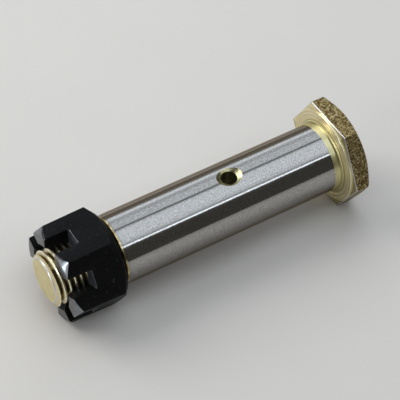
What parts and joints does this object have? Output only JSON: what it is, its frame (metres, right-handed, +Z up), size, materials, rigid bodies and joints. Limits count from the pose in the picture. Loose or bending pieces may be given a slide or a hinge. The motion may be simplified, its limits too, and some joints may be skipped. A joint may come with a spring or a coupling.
{
  "type": "steering link pin",
  "caption": "Headed steering link pin with a hexagon head, a ground shank with a grease outlet near the top, and a threaded end that carries a black slotted nut.",
  "frame": {"origin": "on the pin's axis at the turned face under the head", "axes": "+X along the pin from the threaded end towards the head, +Z up as it lies on a flat of its head, with the grease outlet near the top, +Y across"},
  "size_m": [0.1318, 0.045, 0.0392],
  "materials": {
    "pin_steel": "ground shank, yellow plated head and thread",
    "black_steel": "satin black oxide"
  },
  "bodies": {
    "root": {"link_pin": "pin_steel", "castle_nut": "black_steel"}
  },
  "joints": []
}
